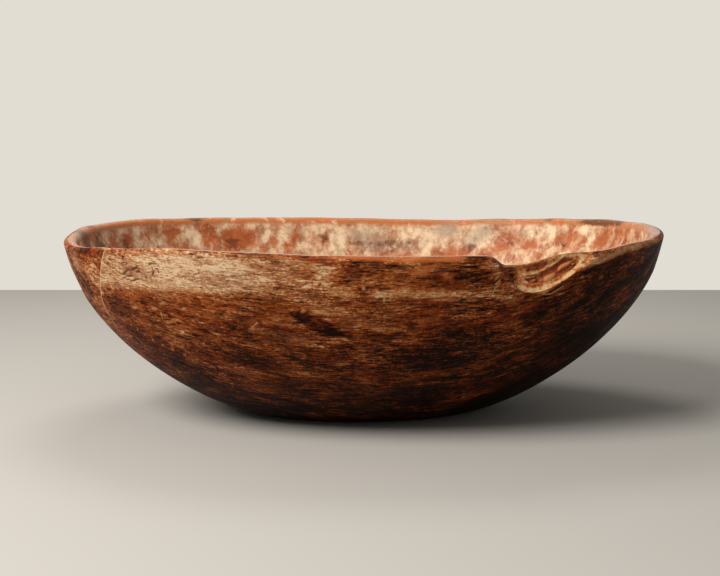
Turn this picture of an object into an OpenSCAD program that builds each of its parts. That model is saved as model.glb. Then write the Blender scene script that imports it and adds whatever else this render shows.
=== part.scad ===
// Oval dough bowl hewn from one piece of wood, with a worn dip in its rim and a drying check in one end.
// The long axis of the oval lies along X, the grain runs with it, and the flat of the foot rests on z = 0.
// Angles go round the bowl from the +X end, and 270 is the middle of the side that faces -Y.

/* [Bowl] */
// Length of the oval over the rim
bowl_length = 498; // [400:1:620]
// Width of the oval over the rim
bowl_width = 382; // [300:1:480]
// Height from the table to the mean line of the rim
bowl_height = 150; // [115:1:190]
// Length of the flat that the bowl stands on
base_length = 180; // [140:1:225]
// Width of the flat that the bowl stands on
base_width = 112; // [85:1:140]

/* [Wall] */
// Thickness of the wall at the rim
rim_thickness = 11; // [9:0.5:15]
// Thickness of the floor at its middle
floor_thickness = 16; // [11:0.5:22]
// Length of the flattest part of the floor inside
floor_length = 90; // [60:1:120]
// Width of the flattest part of the floor inside
floor_width = 60; // [40:1:80]

/* [Rim] */
// Rounding of the outer edge of the rim
outer_round = 3; // [1.5:0.5:4]
// Rounding of the inner edge of the rim
inner_round = 4.5; // [2:0.5:5]
// Greatest rise or dip of the rim from its mean line
rim_warp = 5.5; // [0:0.1:9]
// Depth of the flatter band under the rim, along the two long sides
band_depth_sides = 29; // [15:1:45]
// Depth of that band at the +X end
band_depth_right = 33; // [20:1:60]
// Depth of that band at the -X end
band_depth_left = 47; // [20:1:60]

/* [Worn dip in the rim] */
// Where the dip begins, as an angle round the bowl
dip_start = 290.5; // [282:0.5:300]
// Angle that the dip takes up
dip_span = 28.5; // [20:0.5:38]
// How far the dip cuts down the outer face of the wall
dip_outer_drop = 27; // [10:1:36]
// How far the dip lowers the inner edge of the wall
dip_inner_drop = 7.5; // [2:0.5:14]
// How far the face of the dip is hollowed
dip_hollow = 2; // [0:0.1:3]

/* [Drying check] */
// Width of the open check
check_width = 1; // [0.6:0.1:2]
// How deep the check goes into the wall at the rim
check_depth = 18; // [8:1:26]
// Distance from the long centre line to where the check meets the rim
check_offset = 115; // [95:1:133]
// How far down from the rim the check runs
check_run = 88; // [40:1:110]
// Depth below the table of the line that the check points to, which was the heart of the log
heart_depth = 13; // [5:1:60]

/* [Hidden] */

wood = [0.62, 0.36, 0.2];

// The outline of the bowl is an oval whose power is 2 for an ellipse and more for a squarer one
base_power = 2;
rim_power = 2.22;
// How the outside fills out from foot to rim: the first power rules the rim and the second the foot
outer_top_power = 1.75;
outer_low_power = 0.73;
// The same for the hollow
inner_top_power = 1.6;
inner_low_power = 0.48;
// How far the band under the rim is worn from the round of the wall towards a straight line
band_flat_share = 0.55;
// The band deepens only near the ends, the more so the higher this power
band_end_power = 6;
// Rise of the rim every 15 degrees from the +X end, as a share of rim_warp
warp_shares = [
    1, 0.8, 0.4, -0.15, -0.55, -0.55, -0.4, -0.15, 0, 0.25, 0.7, 0.6,
    -0.1, -0.45, 0.05, 0.55, 0.4, 0.05, -0.1, -0.2, -0.35, -0.45, 0.2, 0.7
];
// Shares of the dip's span for its steep near side and its long far side, on the outer edge
outer_near_share = 0.34;
outer_far_share = 0.58;
// The same on the inner edge, where the dip also begins later and ends sooner
inner_near_share = 0.17;
inner_far_share = 0.44;
inner_from_share = 0.04;
inner_to_share = 0.74;
// How much of each rounding is left where the dip is deepest
dip_round_share = 0.4;

// Angles at which the outline is cut into columns, closer together round the dip
coarse_step = 4;
fine_step = 1.5;
fine_margin = 3;
fine_from = dip_start - fine_margin;
fine_to = dip_start + dip_span + fine_margin;
coarse_count = ceil((360 - (fine_to - fine_from)) / coarse_step);
fine_count = ceil((fine_to - fine_from) / fine_step);
columns = [
    for (i = [0:fine_count - 1]) fine_from + (fine_to - fine_from) * i / fine_count,
    for (i = [0:coarse_count - 1]) fine_to + (360 - fine_to + fine_from) * i / coarse_count
];

outer_rings = 20;
inner_rings = 16;
round_steps = 3;
face_steps = 4;
// Rings crowd towards the foot and the floor by this power
ring_crowding = 1.5;
cut_overrun = 2;

function ease(share) = let (x = min(1, max(0, share))) x * x * (3 - 2 * x);

function oval(angle, half_length, half_width, power) =
    pow(pow(abs(cos(angle)) / half_length, power) + pow(abs(sin(angle)) / half_width, power), -1 / power);

function fullness(share, top_power, low_power) =
    pow(max(0, 1 - pow(max(0, 1 - share), top_power)), low_power);

// Height of the rim where nothing is worn away, eased from one tabled rise to the next
function rim_height(angle) =
    let (
        turn = ((angle % 360) + 360) % 360,
        count = len(warp_shares),
        place = turn / 360 * count,
        i = floor(place),
        here = warp_shares[i % count],
        next = warp_shares[(i + 1) % count]
    )
    bowl_height + rim_warp * (here + (next - here) * ease(place - i));

function dip_shape(angle, from_share, near_share, far_share, to_share) =
    let (place = (angle - dip_start) / dip_span)
    ease((place - from_share) / near_share) * ease((to_share - place) / far_share);

function outer_dip(angle) = dip_shape(angle, 0, outer_near_share, outer_far_share, 1);
function inner_dip(angle) =
    dip_shape(angle, inner_from_share, inner_near_share, inner_far_share, inner_to_share);
function outer_edge(angle) = rim_height(angle) - dip_outer_drop * outer_dip(angle);
function inner_edge(angle) = rim_height(angle) - dip_inner_drop * inner_dip(angle);
function rounding(angle, full) = full * (1 - (1 - dip_round_share) * outer_dip(angle));

function outline_power(share) = base_power + (rim_power - base_power) * share;

// Half the length or width over the outside at a share of the height
function outer_half(at_base, at_rim, share) =
    (at_base + (at_rim - at_base) * fullness(share, outer_top_power, outer_low_power)) / 2;

// Distance from the middle to the outside of the wall as it was before it wore
function unworn_reach(angle, share) = oval(
    angle,
    outer_half(base_length, bowl_length, share),
    outer_half(base_width, bowl_width, share),
    outline_power(share)
);

function band_depth(angle) =
    let (end_depth = cos(angle) > 0 ? band_depth_right : band_depth_left)
    band_depth_sides + (end_depth - band_depth_sides) * pow(abs(cos(angle)), band_end_power);

// The same distance on the real outside, where the band under the rim is worn flatter than the rest
function outer_reach(angle, z) =
    let (
        top = rim_height(angle),
        share = min(1, max(0, z / top)),
        band_foot = 1 - band_depth(angle) / top,
        up_band = max(0, (share - band_foot) / (1 - band_foot)),
        from = unworn_reach(angle, band_foot),
        straight = from + (unworn_reach(angle, 1) - from) * up_band,
        curved = unworn_reach(angle, share)
    )
    up_band > 0 ? curved + (straight - curved) * band_flat_share : curved;

// Distance from the middle to the inside of the wall
function inner_reach(angle, z) =
    let (
        share = min(1, max(0, (z - floor_thickness) / (rim_height(angle) - floor_thickness))),
        full = fullness(share, inner_top_power, inner_low_power)
    )
    oval(
        angle,
        floor_length / 2 + ((bowl_length - floor_length) / 2 - rim_thickness) * full,
        floor_width / 2 + ((bowl_width - floor_width) / 2 - rim_thickness) * full,
        outline_power(share)
    );

function at(angle, reach, z) = [reach * cos(angle), reach * sin(angle), z];

function outer_wall(angle, share) =
    let (z = (outer_edge(angle) - rounding(angle, outer_round)) * share)
    at(angle, outer_reach(angle, z), z);

function inner_wall(angle, share) =
    let (z = floor_thickness + (inner_edge(angle) - rounding(angle, inner_round) - floor_thickness) * share)
    at(angle, inner_reach(angle, z), z);

function outer_rounding(angle, turn) =
    let (
        size = rounding(angle, outer_round),
        z = outer_edge(angle) - size
    )
    at(angle, outer_reach(angle, z) - size * (1 - cos(turn)), z + size * sin(turn));

function inner_rounding(angle, turn) =
    let (
        size = rounding(angle, inner_round),
        z = inner_edge(angle) - size
    )
    at(angle, inner_reach(angle, z) + size * (1 - cos(turn)), z + size * sin(turn));

// The top of the rim, which turns into the hollowed face of the dip where the outer edge is worn down
function rim_face(angle, share) =
    let (
        outside = outer_rounding(angle, 90),
        inside = inner_rounding(angle, 90),
        hollow = dip_hollow * outer_dip(angle) * sin(180 * share)
    )
    outside + (inside - outside) * share - at(angle, hollow, 0);

function foot_point(angle) = at(angle, outer_reach(angle, 0), -cut_overrun);

// Every ring of the skin, from under the foot up the outside, over the rim and down to the floor inside
rings = [
    [for (a = columns) foot_point(a)],
    for (i = [0:outer_rings]) [for (a = columns) outer_wall(a, pow(i / outer_rings, ring_crowding))],
    for (i = [1:round_steps]) [for (a = columns) outer_rounding(a, 90 * i / round_steps)],
    for (i = [1:face_steps - 1]) [for (a = columns) rim_face(a, i / face_steps)],
    for (i = [round_steps:-1:1]) [for (a = columns) inner_rounding(a, 90 * i / round_steps)],
    for (i = [inner_rings:-1:0]) [for (a = columns) inner_wall(a, pow(i / inner_rings, ring_crowding))]
];

module skin() {
    count = len(columns);
    last = len(rings) - 1;
    points = [for (ring = rings) for (point = ring) point];
    bands = [
        for (j = [0:last - 1]) for (i = [0:count - 1])
            let (k = (i + 1) % count, low = j * count, high = low + count)
            each [[low + i, high + i, high + k], [low + i, high + k, low + k]]
    ];
    underside = [for (i = [0:count - 1]) i];
    floor_inside = [for (i = [count - 1:-1:0]) last * count + i];
    polyhedron(points, concat(bands, [underside, floor_inside]), convexity = 8);
}

// Takes away what is under the table, which leaves the worn flat of the foot
module below_table() {
    translate([-bowl_length, -bowl_width, -2 * cut_overrun])
        cube([2 * bowl_length, 2 * bowl_width, 2 * cut_overrun]);
}

// The check lies in a plane that holds the heart line of the log, so it leans out towards the rim
check_lean = atan2(check_offset, bowl_height + heart_depth);
check_steps = 10;

// Where the plane of the check meets the outside of the wall at height z, as a distance along X
function check_along(z) =
    let (
        across = (z + heart_depth) * tan(check_lean),
        share = z / bowl_height,
        power = outline_power(share),
        unworn = outer_half(base_length, bowl_length, share)
            * pow(max(0, 1 - pow(across / outer_half(base_width, bowl_width, share), power)), 1 / power),
        reach = outer_reach(180 + atan2(across, unworn), z)
    )
    -sqrt(max(0, pow(reach, 2) - pow(across, 2)));

// A point of the check's outline in its own plane, which reaches less deep the lower it goes
function check_point(share, into) =
    let (z = bowl_height - check_run * share)
    [check_along(z) + into * (1 - share), (z + heart_depth) / cos(check_lean)];

module check() {
    above_rim = [0, (rim_warp + cut_overrun) / cos(check_lean)];
    outside = [for (i = [0:check_steps]) check_point(i / check_steps, 0) - [cut_overrun, 0]];
    inside = [for (i = [check_steps - 1:-1:0]) check_point(i / check_steps, check_depth)];
    translate([0, 0, -heart_depth])
        rotate([90 + check_lean, 0, 0])
            linear_extrude(check_width, center = true)
                polygon(concat(
                    [outside[0] + above_rim],
                    outside,
                    inside,
                    [inside[len(inside) - 1] + above_rim]
                ));
}

module carved_bowl() {
    color(wood)
        difference() {
            skin();
            below_table();
            check();
        }
}

carved_bowl();
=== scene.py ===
"""An oval dough bowl carved from one piece of wood, with worn paint, a torn dip in its rim and a drying split."""
import math

import bpy
import numpy as np
from bpy.props import FloatProperty, FloatVectorProperty, PointerProperty
from bpy.types import Operator, Panel, PropertyGroup
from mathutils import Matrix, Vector, noise


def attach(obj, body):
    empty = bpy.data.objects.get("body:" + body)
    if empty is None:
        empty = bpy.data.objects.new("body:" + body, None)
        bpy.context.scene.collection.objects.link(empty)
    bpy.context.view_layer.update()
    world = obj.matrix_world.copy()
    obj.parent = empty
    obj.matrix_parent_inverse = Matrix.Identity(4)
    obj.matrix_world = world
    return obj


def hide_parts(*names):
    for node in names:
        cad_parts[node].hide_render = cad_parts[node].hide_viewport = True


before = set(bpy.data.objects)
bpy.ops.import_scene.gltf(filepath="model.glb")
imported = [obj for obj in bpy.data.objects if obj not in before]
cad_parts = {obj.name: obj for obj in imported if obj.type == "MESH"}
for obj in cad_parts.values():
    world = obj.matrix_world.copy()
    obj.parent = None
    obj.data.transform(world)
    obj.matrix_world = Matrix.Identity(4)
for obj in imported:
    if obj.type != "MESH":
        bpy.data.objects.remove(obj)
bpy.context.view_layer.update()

bl_info = {
    "name": "Carved Dough Bowl",
    "version": (1, 0, 0),
    "blender": (4, 5, 0),
    "location": "3D View > Sidebar > Dough Bowl",
    "description": "Builds an oval carved bowl with worn paint, and the studio it stands in",
    "category": "Object",
}

MM = 0.001
NODE = "carved_bowl"
BODY = "root"

# Powers of the ovals and of the two profiles, as the solid bowl has them
BASE_POWER = 2.0
RIM_POWER = 2.22
OUTER_PROFILE = (1.75, 0.73)
INNER_PROFILE = (1.6, 0.48)
BAND_FLAT = 0.55
BAND_END_POWER = 6
# Height of the rim line every 15 degrees, as a share of the warp
WARP = (1, .8, .4, -.15, -.55, -.55, -.4, -.15, 0, .25, .7, .6,
        -.1, -.45, .05, .55, .4, .05, -.1, -.2, -.35, -.45, .2, .7)
# Soft windows, here as shares of the dip's span: start, width of the rise, width of the fall, end
OUTER_DIP = (0, .34, .58, 1)
INNER_DIP = (.04, .17, .44, .74)
DIP_ROUND = .4

# Rows of the skin, from the middle of the foot over the rim to the middle of the floor
FOOT_ROWS = (.25, .5, .75, .92)
LOW_ROWS = 36
LOW_CROWDING = 1.3
BAND_ROWS = 26
ROUND_TURNS = (30, 60, 90)
FACE_ROWS = 24
INNER_LOW_ROWS = 32
INNER_CROWDING = 1.5
FLOOR_ROWS = (.9, .7, .45, .2)
# Height of the close rows under the rim, and how much of it they lose in the dip
BAND_TALL = 37 * MM
BAND_DIP_LOSS = .42
# Degrees between columns, how much closer they are at the split and the dip, and their distances from the split
COLUMN_STEP = 1.12
FINE_SAVING = .82
SPLIT_COLUMNS = (0, .14, .3, .5, .8, 1.2, 1.7)
LAST_GAP = 1.2

# The split runs down the left end from the rim to this height, and right through the wall near the rim
SPLIT_TOP_TURN = 208.4
SPLIT_FOOT = 62 * MM
SPLIT_THROUGH = 30 * MM
# Limits of its way round the bowl in degrees, how far beside it the columns follow, and its least share of width
SPLIT_SHIFT = (-13.5, 4)
SPLIT_SPREAD = 60
SPLIT_LEAST = .12
HALF_GAP_LIMIT = .1
SPLIT_DEPTH = (.8 * MM, 9 * MM)

# Soft windows of turn in degrees: start, width of the rise, width of the fall, end
SPLIT_TURNS = (205, 5, 6, 229)
DIP_TURNS = (283, 6, 6, 327)
# Front rim edges made pale: worn wood, and a painted highlight where the rim glints.
EDGE_WEAR_AND_GLINT_TURNS = (224, 8, 16, 270)
BARE_LIP_TURNS = (298, 8, 20, 346)
PALE_BAND_TURNS = (200, 5, 36, 266)
PALEST_TURNS = (213, 8, 14, 246)
LEFT_END_TURNS = (160, 18, 14, 206)
BACK_TURNS = (55, 30, 30, 160)
# How quickly the dip's face takes over from the rim
DIP_ONSET = 5

# The grain rises by this many mm for each degree past its start, for so many degrees, and is level again at the end
GRAIN_RISE = .55
RISE_START = 297
RISE_FULL = 48
RISE_END = 138
# The log's growth rings are flatter than they are wide
RING_SQUASH = .42

# Noise for the relief: its scale along each axis, and its seed
SWELL = ((11, 26, 30), 1)
RIPPLE = ((40, 160, 190), 2)
ROUGHNESS = ((170, 420, 420), 3)
RAGGED = ((60, 150, 150), 5)
WOBBLE = ((7, 7, 7), 8)
# Relief in mm
SKIN_SWELL, SKIN_RIPPLE, FLOOR_SHARE = .35, .07, .4
TORN_DEPTH, TORN_ROUGHNESS, TORN_RIPPLE = 1.5, .7, .6
RAISED, RAISED_RIPPLE = .7, .3
FACE_RIPPLE, FACE_ROUGHNESS = .22, .12
TRACK_DEPTH = .35
STEP_DOWN, STEP_LIP, STEP_DROP = 1.05, .3, 1.6
END_LEAN = 1.4
RIM_WOBBLE, RIM_RIPPLE, BACK_RISE = .35, .12, .9

# Noise for the finish along the log, out through its rings and across: scales, detail, roughness, twist
GRAIN = {
    "fibre": ((120, 1150, 320), 3, .6, .2),
    "streak": ((44, 330, 110), 7, .72, .5),
    "patch": ((17, 50, 34), 7, .66, .6),
    "speck": ((220, 700, 330), 3, .6, 0),
    "blotch": ((46, 105, 80), 7, .72, .8),
    "scuff": ((380, 640, 380), 4, .75, .4),
    "dash": ((90, 800, 260), 2, .5, .1),
    "rub": ((15, 46, 40), 6, .68, .7),
    "rust": ((14, 40, 36), 7, .70, .9),
}

# The studio: where the camera stands, where it looks and how far down, and where the lamps aim
EYE = (-.1212, -1.1738, .2529)
HEADING = (.0988, .9951, 0)
PITCH = 7.225
SENSOR_WIDTH = 36
FLOOR_LENGTH = 16
FLOOR_HALF_WIDTH = 12
LAMP_AIM = (0, 0, .09)
LAMP_COLOUR = (1, .985, .96)

# Marks on the outside: turn in degrees, height, half length, half height in mm, strength, slant in degrees
DARK_BLOTS = (
    (252.6, 99.5, 12, 6, 1.5, -22), (249, 106, 8, 3.5, 1.0, -22), (256.5, 93, 9, 3.5, 1.2, -20),
    (246, 96, 8, 3, .7, -10), (266, 136, 20, 3, .6), (262, 140, 14, 2.5, .5), (281, 139, 12, 5, .7, -6),
    (286, 134, 8, 3, .6), (241, 136.5, 10, 3, .9), (232, 130, 5, 1.2, .9), (229, 146.5, 8, 1.8, .8),
    (222, 147.5, 6, 1.6, .7), (252, 136, 9, 3, .6), (247, 128, 14, 3, .6), (237, 122, 18, 2.5, .6, -2),
    (218, 101, 12, 6, .5, -6), (226, 88, 14, 6, .55, -8), (218, 76, 10, 6, .45, -10), (233, 82, 12, 4, .6, -12),
    (262, 108, 8, 3, .4), (285, 95, 16, 6, .4), (292, 84, 12, 5, .5), (276, 86, 9, 3, .5), (306, 101, 8, 4, .5, 12),
    (316, 112, 10, 5, .7, 20), (330, 124, 14, 9, .6, 20), (340, 128, 16, 10, .6, 10), (278, 70, 24, 4, .4),
    (257, 46, 20, 5, .5, -4), (240, 58, 20, 5, .35, -6), (197.8, 113, 3, 5, 1.6), (196, 120, 6, 1.6, .8, -20),
    (198, 147.5, 14, 4, 1.0), (204.5, 143, 6, 1.2, .6, -20), (196, 132, 16, 22, 1.5), (196, 141, 14, 7, .6, -10),
    (197, 125, 8, 6, .8, -20), (203, 146, 5, 5, .9), (202, 132, 3, 10, .7),
)
PALE_BLOTS = (
    (268, 122.5, 12, 3, 1.3), (277, 122, 18, 3.2, 1.3), (287, 120.5, 18, 3, 1.2, -4), (296, 117, 12, 2.6, 1.0, -8),
    (282, 117, 16, 2, .6, -4), (273, 128, 6, 3, .5, 30), (259, 124, 10, 4, .5), (255, 142, 8, 3, .5),
    (249, 147, 10, 2, .6), (232, 104, 18, 4, .4, -12), (240, 92, 12, 4, .4, -24), (244, 101, 7, 4, .6, -30),
    (262, 97, 10, 4, .5), (222, 116, 16, 3, .35, -4), (250, 86, 14, 4, .4, -8), (246, 88, 8, 2.5, .5, -10),
    (214, 92, 10, 3, .3, -20), (303, 117, 10, 2, .7, 16), (309, 118, 12, 2, .6, 22), (318, 128, 10, 2, .5, 24),
    (300, 108, 14, 2, .4, 8), (291, 143, 4, 5, .7), (293, 138, 4, 4, .8), (292.8, 142, 3.5, 4, .4),
    (294, 136, 3.5, 4, .45), (295.6, 130.5, 3.5, 4, .7), (297.5, 126, 5, 3, .9, -30), (318, 136, 12, 3, .6, 22),
    (326, 140, 14, 3, .5, 14), (196, 134, 16, 17, 1.0), (200, 104, 8, 5, .5),
)
ORANGE_BLOTS = (
    (262, 149, 20, 1.6, 1.0), (273, 147.4, 20, 2.6, 1.2), (283, 147, 12, 2.6, 1.1), (222, 149, 9, 1.0, .7),
    (238, 148, 6, 1.2, .8), (211.9, 129.3, 3, 1.0, 1.0, -20), (276, 138, 10, 4, .8), (282, 135, 6, 4, .8),
    (279, 142, 8, 2, .6), (198.8, 107, 2.5, 3, .8), (207, 84, 12, 5, .35, -8), (315, 130, 5, 2.5, .6, 10),
    (318, 128, 4, 3, .6, 30), (311, 108, 8, 3, .4, 10), (226, 108, 10, 3, .3, -10),
)
# The strip under the rim beyond the dip, rubbed bare by hands
BARE_STRIP = (
    (308, 133.5, 9, 3, 1.2, 20), (312, 138, 11, 4, 1.2, 18), (316.5, 141.5, 12, 4, 1.1, 14),
    (321, 145.5, 14, 3.5, 1.0, 12), (327, 148, 18, 3.2, 1.0, 6), (335, 150, 24, 3, .9, 4),
    (345, 151.5, 24, 3, .7, 2),
)
# Marks on the inner wall: turn, height, half length, half height in mm, strength, slant
INNER_ORANGE = (
    (123, 133, 17, 11, 1.1), (132, 131, 6, 12, .9), (139, 141, 16, 2.5, .9), (142, 137, 5, 9, .8),
    (149, 139, 5, 8, .6), (155, 138, 6, 6, 1.2), (160, 137, 4, 5, .8), (138, 126, 12, 4, .7),
    (112, 127, 9, 6, .8, 28), (106, 131, 4, 9, .6, 25), (100, 127, 7, 6, .6), (36, 127, 14, 6, .8),
    (26, 133, 14, 8, .9), (16, 138, 14, 9, .9), (8, 142, 10, 8, .7), (45, 121, 14, 6, .9), (57, 117, 14, 6, .7),
    (52, 134, 3, 8, .4), (72, 114, 12, 5, .4), (170, 146, 12, 4, .8),
)
INNER_CREAM = (
    (125, 146, 8, 3.5, 1.0), (117.7, 145, 12, 3.5, 1.0), (156, 148, 5, 3, .8), (127.5, 139, 2.5, 7, 1.2),
    (162, 144, 5, 5, .8), (151.5, 141, 5, 6, 1.0), (146, 136, 4, 7, 1.0), (136, 134, 7, 9, 1.9),
    (115, 136, 5, 7, .9, 30), (109.5, 133, 3.5, 12, 1.2, 30), (104, 133, 3, 12, 1.0, 30), (98, 142, 10, 4, .8),
    (92.8, 131, 4.5, 16, 2.6), (84, 138, 24, 5, .7), (66, 133, 18, 10, .9), (50, 136, 12, 9, .9),
    (38, 138, 8, 7, 1.0, 20), (32, 139, 6, 6, .9, 25), (22.5, 143, 7, 3.5, 1.0, 10), (20, 134, 2.2, 9, 1.0, 32),
    (13, 137, 2.2, 9, 1.0, 32), (28, 130, 2.2, 7, 1.0, 30), (8, 139, 2, 8, .8, 32), (34, 132, 2.2, 8, .8, -25),
)
# Those at the inner left end, round turns 156 to 173, are painted shade on the shadow side.
INNER_DARK_AND_SHADE = (
    (156, 136, 4, 5, .7), (151, 137, 3, 5, .5), (167, 137, 6, 9, .9), (124.5, 130, 9, 1.8, 1.0),
    (124.8, 125.5, 4, 3.5, .7), (99, 133, 6, 2, .7, 20), (97, 129, 3, 7, .8, 20), (102, 126, 5, 2, .6),
    (134, 140, 4, 4, .3), (80, 121, 26, 7, .35), (87, 125, 14, 3, .6), (76, 125, 14, 3, .65), (53, 122, 10, 4.5, .5),
    (42, 126, 4, 3, .7), (34, 125, 3.5, 2.2, .9), (27, 128, 3.5, 2.2, .9), (52, 122, 4, 3, .6), (61, 120, 4, 3, .5),
    (124, 152, 7, 3, 1.1), (134, 151.5, 10, 3, 1.2), (76, 151, 6, 2.5, .8), (45, 152, 8, 3, .9), (33, 152, 6, 3, .8),
    (20, 152, 14, 3, 1.4), (12, 153, 8, 3, .9), (173, 144, 10, 8, 1.8), (166, 134, 9, 7, 1.3), (156, 129, 8, 4, 1.0),
    (167, 154, 7, 3, 1.0), (18, 152, 26, 3.5, .9), (42, 153, 24, 3, .7),
)
INNER_GREY_AND_REFLECTION = (
    (82, 126, 22, 14, .9), (70, 122, 16, 10, .6), (88, 134, 10, 8, .4), (164, 141, 6, 6, .5), (353, 152, 12, 6, .9),
    (345, 148, 10, 6, .6), (60, 134, 14, 10, .4), (178, 146, 16, 6, .5), (101, 131, 9, 8, .4), (120, 152, 14, 4, .6),
    # The last two marks below, along the top of the front rim, are grey rubbed paint and a painted reflection.
    (60, 139, 14, 7, .8), (50, 137, 14, 9, .9), (53, 126, 14, 6, .6), (238, 150, 34, 5, 1.3), (258, 150, 16, 4, .8),
)
# Tool and worm marks left of the dip and beside the split, as runs of turn and height
WORM_TRACKS = (
    ((210.1, 135.7), (211, 133.7), (211.7, 132.4), (212.8, 131.9), (213.7, 133.7), (214.6, 135.5), (215.8, 135.4),
     (217.2, 137.7), (217.8, 139.4)),
    ((219.2, 140.8), (220, 142.1), (220.9, 141.9), (221.6, 140.6)),
    ((211.9, 129.6), (213.1, 128.2), (213.8, 127.2), (214.8, 127.1), (215.6, 128.5), (216.8, 129.2)),
    ((219.8, 139.1), (220, 136.1), (219.5, 133.6), (219.9, 132.3)), ((220.9, 138), (221, 134.6)),
    ((217.7, 132.5), (217.9, 129.9)), ((218.8, 130.8), (219.2, 128.8)),
    ((212.8, 131.9), (213.5, 130.4), (215, 131.2)), ((213.6, 140.6), (214.2, 139.6)),
    ((208.2, 138.8), (209.1, 137.2), (210.1, 135.7)),
)
PALE_SCRATCHES = (
    ((263.8, 127.8), (261.6, 118.1)), ((268.6, 124.7), (268, 115.7)), ((263, 127), (265.5, 124.5)),
    ((210.3, 106), (214, 104.1)), ((216.2, 106.5), (218, 105.4)), ((218.2, 105.4), (217.3, 98.7)),
    ((216, 113), (222, 110), (226, 106), (227, 100)), ((206, 90), (209, 80), (214, 70), (221, 60)),
    ((224, 80), (225.5, 76)), ((233, 98), (236, 92)), ((236, 99), (239, 93)), ((239, 99), (242, 92)),
    ((247, 112), (250, 106)), ((249, 112.5), (252, 106.5)), ((251, 112), (254, 106)),
    ((292.6, 120.5), (293, 124.6), (294.2, 128.6)), ((292.9, 127.8), (294, 131)), ((292.7, 131.4), (293.6, 134.2)),
    ((304.3, 118.4), (306.6, 118.2), (308.8, 121.2), (310, 123.6)),
)
DARK_PITS = (
    ((313.4, 130.3), (313.8, 129.9)), ((316.3, 131.8), (316.7, 131.2)), ((317.6, 127.5), (318, 127)),
    ((319.4, 131.6), (319.6, 131)), ((315.3, 126.7), (315.6, 126.4)), ((294, 124.6), (294.4, 123.6)),
    ((321, 128), (322, 127.6)), ((311.5, 125), (312.2, 124.6)),
)
# The face of the dip, by place along it and across it from the outer edge, and its size in mm
FACE_SIZE = (97, 24)
TORN_OUTLINES = (
    ((.365, .68), (.40, .93), (.47, .95), (.54, .86), (.55, .74), (.49, .64), (.42, .66)),
    ((.36, .40), (.40, .27), (.45, .24), (.53, .17), (.58, .15), (.62, .11), (.69, .08), (.74, .05), (.78, .22),
     (.77, .42), (.73, .62), (.68, .78), (.62, .66), (.55, .60), (.47, .53), (.39, .54)),
)
# Place, half length and half width of each lump that the tear left, and its strength
TORN_LUMPS = (
    (.555, .27, .054, .115, 1.1), (.68, .44, .052, .12, 1.1), (.63, .36, .012, .04, .8), (.735, .30, .014, .05, .8),
    (.45, .80, .02, .03, .7), (.44, .36, .020, .05, .8), (.49, .30, .012, .04, .7), (.71, .20, .02, .03, .7),
)
# Each ridge between the torn parts, and its half width in mm
TORN_RIDGES = (
    (((.36, .62), (.42, .58), (.47, .58), (.53, .62), (.58, .66), (.64, .80), (.69, .92)), 1.3),
    (((.38, .47), (.44, .49), (.50, .52)), .7),
)
PALE_LIP = ((.30, .13), (.36, .05), (.45, 0), (.60, -.05), (.70, 0), (.76, .10), (.80, .25), (.825, .50),
            (.81, .76), (.76, .86), (.70, .91), (.61, .96), (.53, .99))


def ease(share):
    """A soft step from 0 to 1."""
    share = np.clip(share, 0, 1)
    return share * share * (3 - 2 * share)


def rise(value, start, width):
    return ease((value - start) / width)


def window(value, edges):
    """1 between two soft edges and 0 beyond them."""
    start, rising, falling, end = edges
    return rise(value, start, rising) * ease((end - value) / falling)


def turned(turn, start):
    """Degrees from one turn to another, from -180 to 180."""
    return (turn - start + 180) % 360 - 180


def sin_of(turn):
    return np.sin(np.radians(turn))


def cos_of(turn):
    return np.cos(np.radians(turn))


def fullness(share, powers):
    """How far a profile has swelled at a share of its height."""
    top, low = powers
    return np.maximum(0, 1 - np.maximum(0, 1 - share) ** top) ** low


def oval(turn, half_length, half_width, power):
    """Reach of a squared oval from its middle."""
    return ((abs(cos_of(turn)) / half_length) ** power + (abs(sin_of(turn)) / half_width) ** power) ** (-1 / power)


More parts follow.
